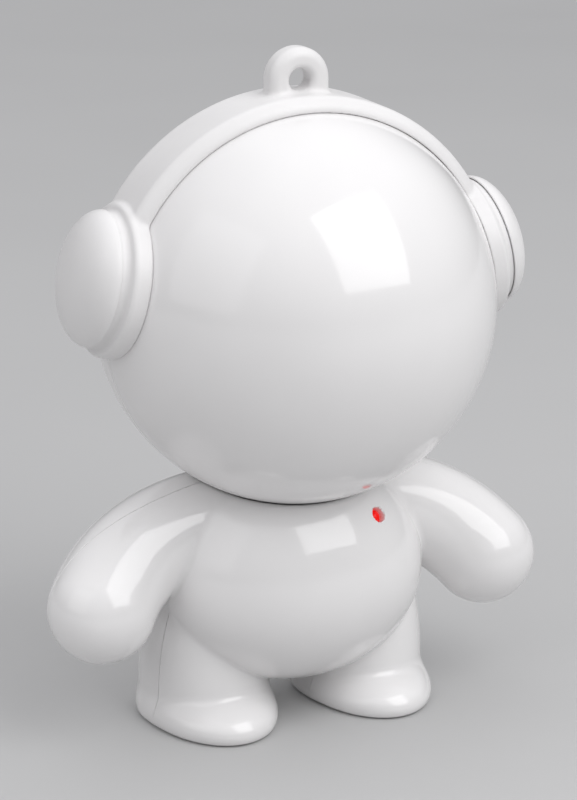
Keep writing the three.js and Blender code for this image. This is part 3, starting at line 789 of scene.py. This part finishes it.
def screw(name, x, z, seat):
    """A pan-head screw with a cross recess, its thread shown as ridges round the shank."""
    base = seat + 0.1
    top = base + SCREW_HEAD_HIGH
    profile = SCREW_TIP + [(SHANK_R, THREAD_LOW - 0.2)]
    for ridge in range(int((base - THREAD_CLEAR - THREAD_LOW) / THREAD_PITCH)):
        low = THREAD_LOW + ridge * THREAD_PITCH
        profile += [(SHANK_R, low), (THREAD_R, low + THREAD_PITCH * 0.4),
                    (SHANK_R, low + THREAD_PITCH * 0.8)]
    profile += [(SHANK_R, base - 0.1), (0.8, base), (SCREW_HEAD_R - 0.1, base),
                (SCREW_HEAD_R, base + 0.12)]
    crown = (SCREW_HEAD_R - SCREW_HEAD_ROUND, base + 0.75)
    profile += arc(crown, SCREW_HEAD_ROUND, 0, 80, 8) + [(0, top)]
    piece = turned(name, profile, MATERIALS["steel"], 40)
    cross = []
    for turn in (0, math.pi / 2):
        bm = bmesh.new()
        bmesh.ops.create_cube(bm, size=1)
        size = Matrix.Diagonal((*(side * MM for side in CROSS_SIZE), 1))
        cross.append(cutter(bm, Matrix.Translation((0, 0, top * MM))
                            @ Matrix.Rotation(turn + CROSS_TURN, 4, "Z") @ size))
    cut_by(piece, cross)
    piece.data.shade_smooth()
    piece.data.set_sharp_from_angle(angle=math.radians(35))
    place(piece, Matrix.Rotation(-math.pi / 2, 3, "X"), (x, 0, z))
    return piece


def screws():
    for site, (x, z, seat) in SCREWS.items():
        for label, side in (("left", 1), ("right", -1)):
            piece = screw(f"{site}_{label}_fixing", side * x, z, seat)
            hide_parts(f"screw_{site}_{label}")
            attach(piece, "base")


def switch_knob():
    """The slide knob: a rounded bar with three grip ribs across its face."""
    lo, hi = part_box("power_switch_knob")
    middle, half = (lo + hi) / 2, (hi - lo) / 2
    bm = bmesh.new()
    bmesh.ops.create_cube(bm, size=2)
    bmesh.ops.scale(bm, vec=half, verts=bm.verts[:])
    bmesh.ops.bevel(bm, geom=bm.edges[:], offset=KNOB_EDGE * MM, segments=3, affect="EDGES")
    for rib in (-1, 0, 1):
        ridge = bmesh.ops.create_cube(bm, size=2)["verts"]
        size = (KNOB_RIB[0] * MM, KNOB_RIB[1] * MM, half.z * KNOB_RIB_SPAN)
        bmesh.ops.scale(bm, vec=size, verts=ridge)
        bmesh.ops.translate(bm, vec=(rib * KNOB_RIB_PITCH * MM, half.y, 0), verts=ridge)
    bmesh.ops.translate(bm, vec=middle, verts=bm.verts[:])
    mesh = bpy.data.meshes.new("power_switch_grip")
    bm.to_mesh(mesh)
    bm.free()
    mesh.shade_smooth()
    mesh.set_sharp_from_angle(angle=math.radians(30))
    piece = object_from("power_switch_grip", mesh, MATERIALS["black_plastic"])
    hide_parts("power_switch_knob")
    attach(piece, "switch_knob")


# ---- floor and light ------------------------------------------------------------------------
FLOOR_SIZE = 8.0  # metres, as all distances in this part


def floor():
    """A plain pale ground, even enough to show only the figure's soft shadow."""
    bpy.ops.mesh.primitive_plane_add(size=FLOOR_SIZE)
    ground = bpy.context.object
    ground.name = "studio_floor"
    m = Nodes("studio_floor", 0.6)
    m.colours(m.noise(3, 2), (0.3, (0.48, 0.48, 0.48)), (0.7, (0.51, 0.51, 0.51)))
    m.roughness(m.noise(20, 2), 0.55, 0.65)
    ground.data.materials.append(m.material)


def softbox(name, towards, distance, size, power, roll=0.0):
    """An area light facing the head from a direction, rolled about that direction."""
    data = bpy.data.lights.new(name, "AREA")
    data.shape = "RECTANGLE"
    data.size, data.size_y = size
    data.energy = power
    lamp = bpy.data.objects.new(name, data)
    spot = Vector(HEAD) * MM + Vector(towards).normalized() * distance
    lamp.matrix_world = Matrix.Translation(spot) @ \
        Vector(towards).to_track_quat("Z", "Y").to_matrix().to_4x4() @ \
        Matrix.Rotation(math.radians(roll), 4, "Z")
    bpy.context.collection.objects.link(lamp)


def sky(low, high):
    """A plain white surround that grows from low at the horizon to high overhead."""
    world = bpy.data.worlds.new("studio")
    world.use_nodes = True
    tree = world.node_tree
    height = tree.nodes.new("ShaderNodeSeparateXYZ")
    fade = tree.nodes.new("ShaderNodeMapRange")
    fade.interpolation_type = "SMOOTHSTEP"
    fade.inputs["From Min"].default_value = -0.1
    fade.inputs["To Min"].default_value = low
    fade.inputs["To Max"].default_value = high
    direction = tree.nodes.new("ShaderNodeTexCoord").outputs["Generated"]
    tree.links.new(direction, height.inputs["Vector"])
    tree.links.new(height.outputs["Z"], fade.inputs["Value"])
    tree.links.new(fade.outputs["Result"], tree.nodes["Background"].inputs["Strength"])
    tree.nodes["Background"].inputs["Color"].default_value = (0.98, 0.98, 1.0, 1)
    bpy.context.scene.world = world


def studio():
    floor()
    softbox("key_light", (0.351, -0.676, 0.648), distance=0.55, size=(0.48, 0.42), power=1.6,
            roll=84)
    softbox("left_fill", (-0.9, -0.2, 0.5), distance=1.2, size=(1.0, 1.0), power=1.8)
    sky(low=0.05, high=1.1)
    bpy.context.scene.view_settings.view_transform = "Standard"


camera()
studio()
repaint_frame()
head()
headband()
for ear_side, ear_label in ((1, "left"), (-1, "right")):
    ear_cap(ear_side, ear_label)
body()
chest_light()
screws()
switch_knob()
